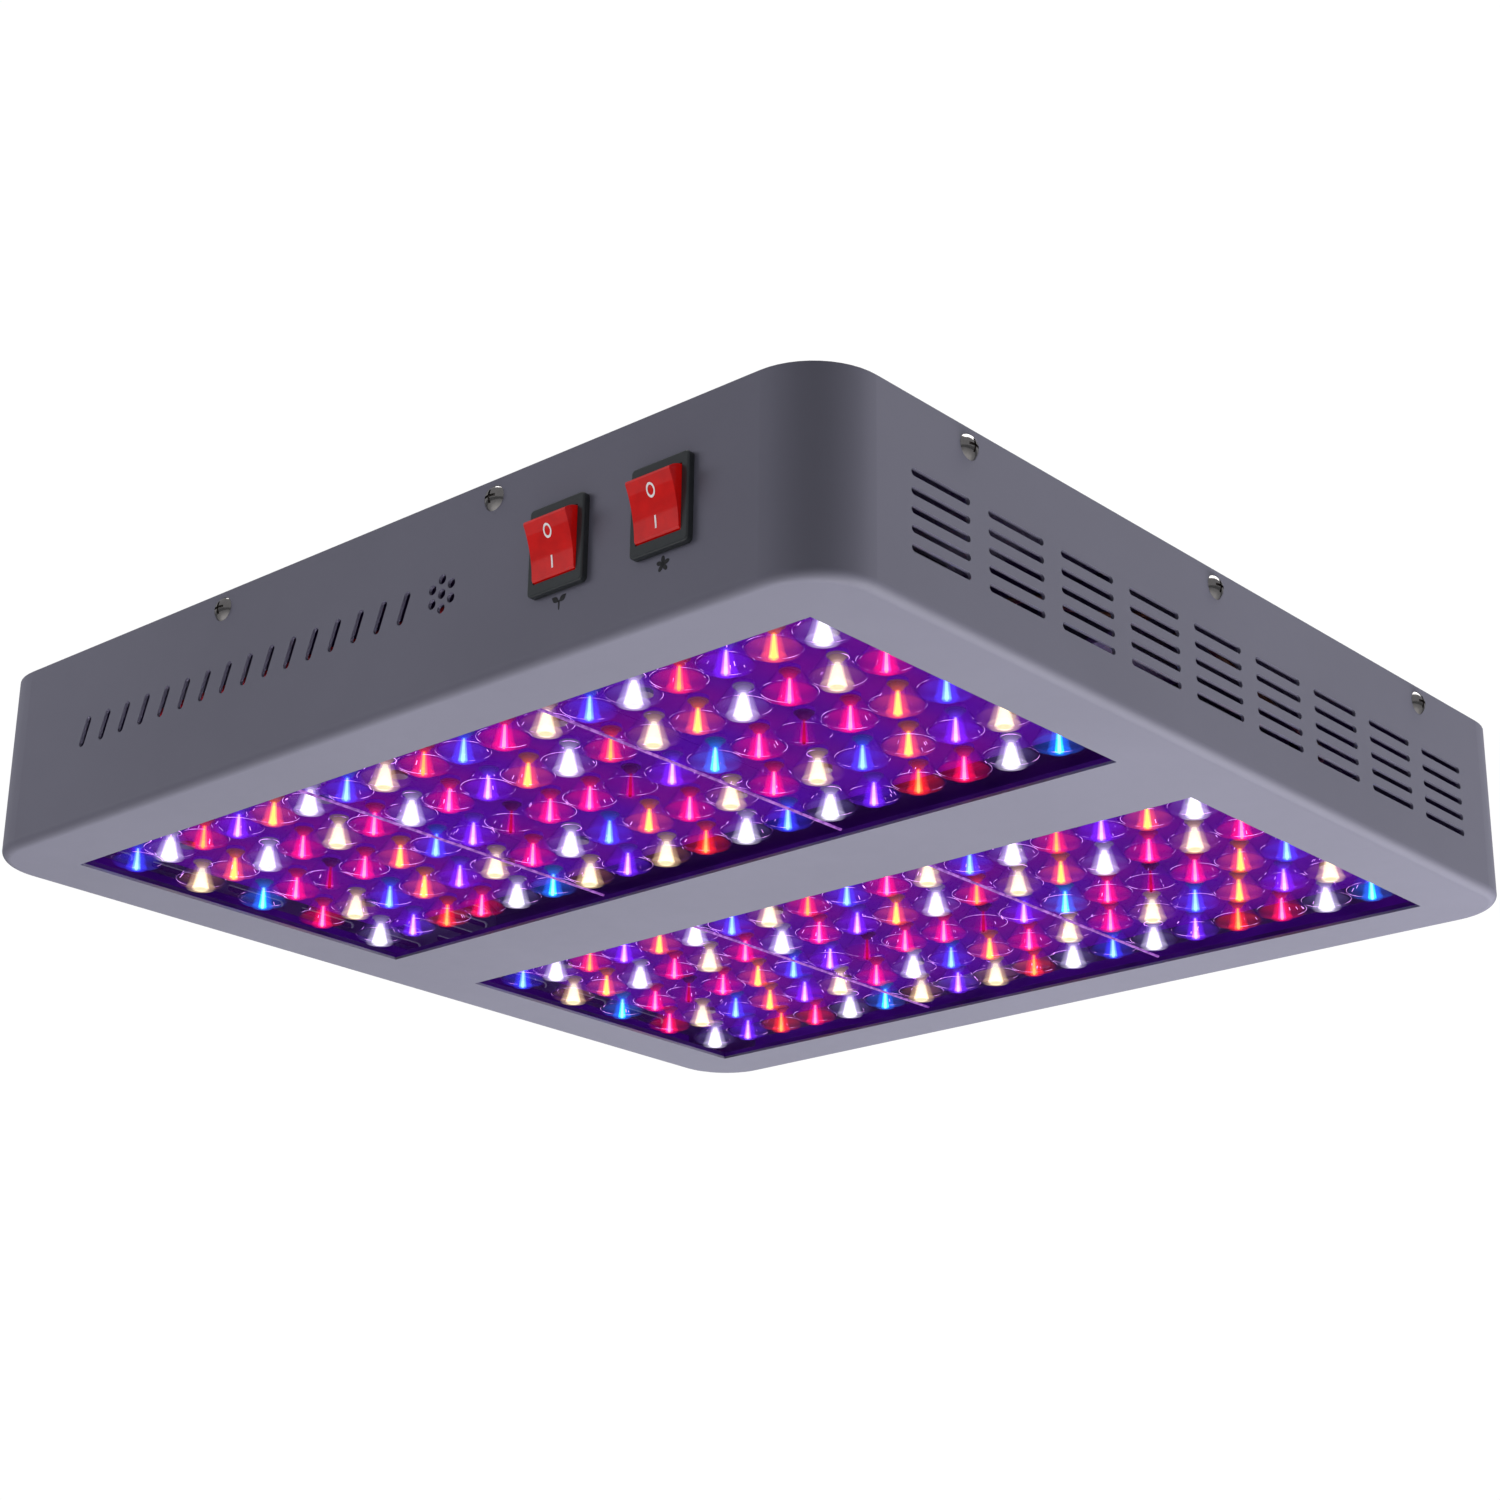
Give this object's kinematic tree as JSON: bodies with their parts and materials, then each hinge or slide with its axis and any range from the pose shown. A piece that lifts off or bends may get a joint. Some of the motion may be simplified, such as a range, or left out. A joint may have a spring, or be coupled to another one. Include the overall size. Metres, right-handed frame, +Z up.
{
  "type": "led grow light panel",
  "caption": "Square flat LED grow lamp: sheet-steel box with two recessed light windows full of clear lens cones, side vents, two red rocker switches, fans on top and hanging eyes.",
  "frame": {"origin": "middle of the bottom face, which holds the two light windows", "axes": "+Z up, away from the plants; the light shines along -Z; the switch wall faces -Y; the power inlet is in the +Y wall"},
  "size_m": [0.4088, 0.4168, 0.0804],
  "materials": {
    "housing_paint": "fine satin powder coat, slate grey",
    "screw_nickel": "bright nickel plating",
    "screw_black": "black oxide",
    "gasket_black": "matt black",
    "lens_clear": "clear moulded polycarbonate",
    "board_white": "white solder mask on aluminium",
    "sink_aluminium": "extruded, black anodised",
    "fan_black": "moulded, fine texture",
    "guard_chrome": "bright plated wire",
    "driver_case": "brushed case",
    "switch_black": "moulded, satin",
    "rocker_red": "translucent red, polished",
    "inlet_black": "moulded, satin",
    "terminal_white": "moulded nylon",
    "eye_zinc": "bright zinc plating",
    "wire_brown": "brown wire sleeve",
    "wire_red": "red wire sleeve",
    "led_white": "silicone dome over a lit chip",
    "led_warm_white": "silicone dome over a lit chip",
    "led_red": "silicone dome over a lit chip",
    "led_red_orange": "silicone dome over a lit chip",
    "led_orange": "silicone dome over a lit chip",
    "led_blue": "silicone dome over a lit chip",
    "led_light_blue": "silicone dome over a lit chip",
    "led_violet": "silicone dome over a lit chip",
    "led_infrared": "silicone dome over a lit chip"
  },
  "bodies": {
    "root": {"board_screws": "screw_black", "cover_screws_front": "screw_nickel", "cover_screws_left": "screw_nickel", "cover_screws_rear": "screw_nickel", "cover_screws_right": "screw_nickel", "driver_screws": "screw_nickel", "eye_screws": "screw_nickel", "fan_frame_1": "fan_black", "fan_frame_2": "fan_black", "fan_frame_3": "fan_black", "fan_frame_4": "fan_black", "fan_guard_1": "guard_chrome", "fan_guard_2": "guard_chrome", "fan_guard_3": "guard_chrome", "fan_guard_4": "guard_chrome", "fan_screws": "screw_nickel", "hanging_eyes": "eye_zinc", "heat_sink_front": "sink_aluminium", "heat_sink_rear": "sink_aluminium", "housing_tray": "housing_paint", "inlet_screws": "screw_nickel", "led_board_front_centre": "board_white", "led_board_front_left": "board_white", "led_board_front_right": "board_white", "led_board_rear_centre": "board_white", "led_board_rear_left": "board_white", "led_board_rear_right": "board_white", "led_driver_centre": "driver_case", "led_driver_left": "driver_case", "led_driver_right": "driver_case", "leds_blue": "led_blue", "leds_infrared": "led_infrared", "leds_light_blue": "led_light_blue", "leds_orange": "led_orange", "leds_red": "led_red", "leds_red_orange": "led_red_orange", "leds_violet": "led_violet", "leds_warm_white": "led_warm_white", "leds_white": "led_white", "lens_panel_front_centre": "lens_clear", "lens_panel_front_left": "lens_clear", "lens_panel_front_right": "lens_clear", "lens_panel_rear_centre": "lens_clear", "lens_panel_rear_left": "lens_clear", "lens_panel_rear_right": "lens_clear", "power_inlet": "inlet_black", "supply_wires": "wire_brown", "switch_body_1": "switch_black", "switch_body_2": "switch_black", "switch_wires": "wire_red", "terminal_block": "terminal_white", "top_cover": "housing_paint", "window_gasket_front": "gasket_black", "window_gasket_rear": "gasket_black"},
    "fan_rotor_1": {"fan_rotor_1": "fan_black"},
    "fan_rotor_2": {"fan_rotor_2": "fan_black"},
    "fan_rotor_3": {"fan_rotor_3": "fan_black"},
    "fan_rotor_4": {"fan_rotor_4": "fan_black"},
    "rocker_1": {"rocker_1": "rocker_red"},
    "rocker_2": {"rocker_2": "rocker_red"}
  },
  "joints": [
    {"name": "rocker_1_press", "type": "hinge", "parent": "root", "child": "rocker_1", "pos_m": [0.098, -0.20275, 0.0358], "axis": [1, 0, 0], "range_deg": [-30, 0]},
    {"name": "rocker_2_press", "type": "hinge", "parent": "root", "child": "rocker_2", "pos_m": [0.141, -0.20275, 0.0358], "axis": [1, 0, 0], "range_deg": [-30, 0]},
    {"name": "fan_1_spin", "type": "hinge", "parent": "root", "child": "fan_rotor_1", "pos_m": [-0.097, -0.09855, 0.055], "axis": [0, 0, 1], "continuous": true},
    {"name": "fan_2_spin", "type": "hinge", "parent": "root", "child": "fan_rotor_2", "pos_m": [0.097, -0.09855, 0.055], "axis": [0, 0, 1], "continuous": true},
    {"name": "fan_3_spin", "type": "hinge", "parent": "root", "child": "fan_rotor_3", "pos_m": [-0.097, 0.09855, 0.055], "axis": [0, 0, 1], "continuous": true},
    {"name": "fan_4_spin", "type": "hinge", "parent": "root", "child": "fan_rotor_4", "pos_m": [0.097, 0.09855, 0.055], "axis": [0, 0, 1], "continuous": true}
  ]
}
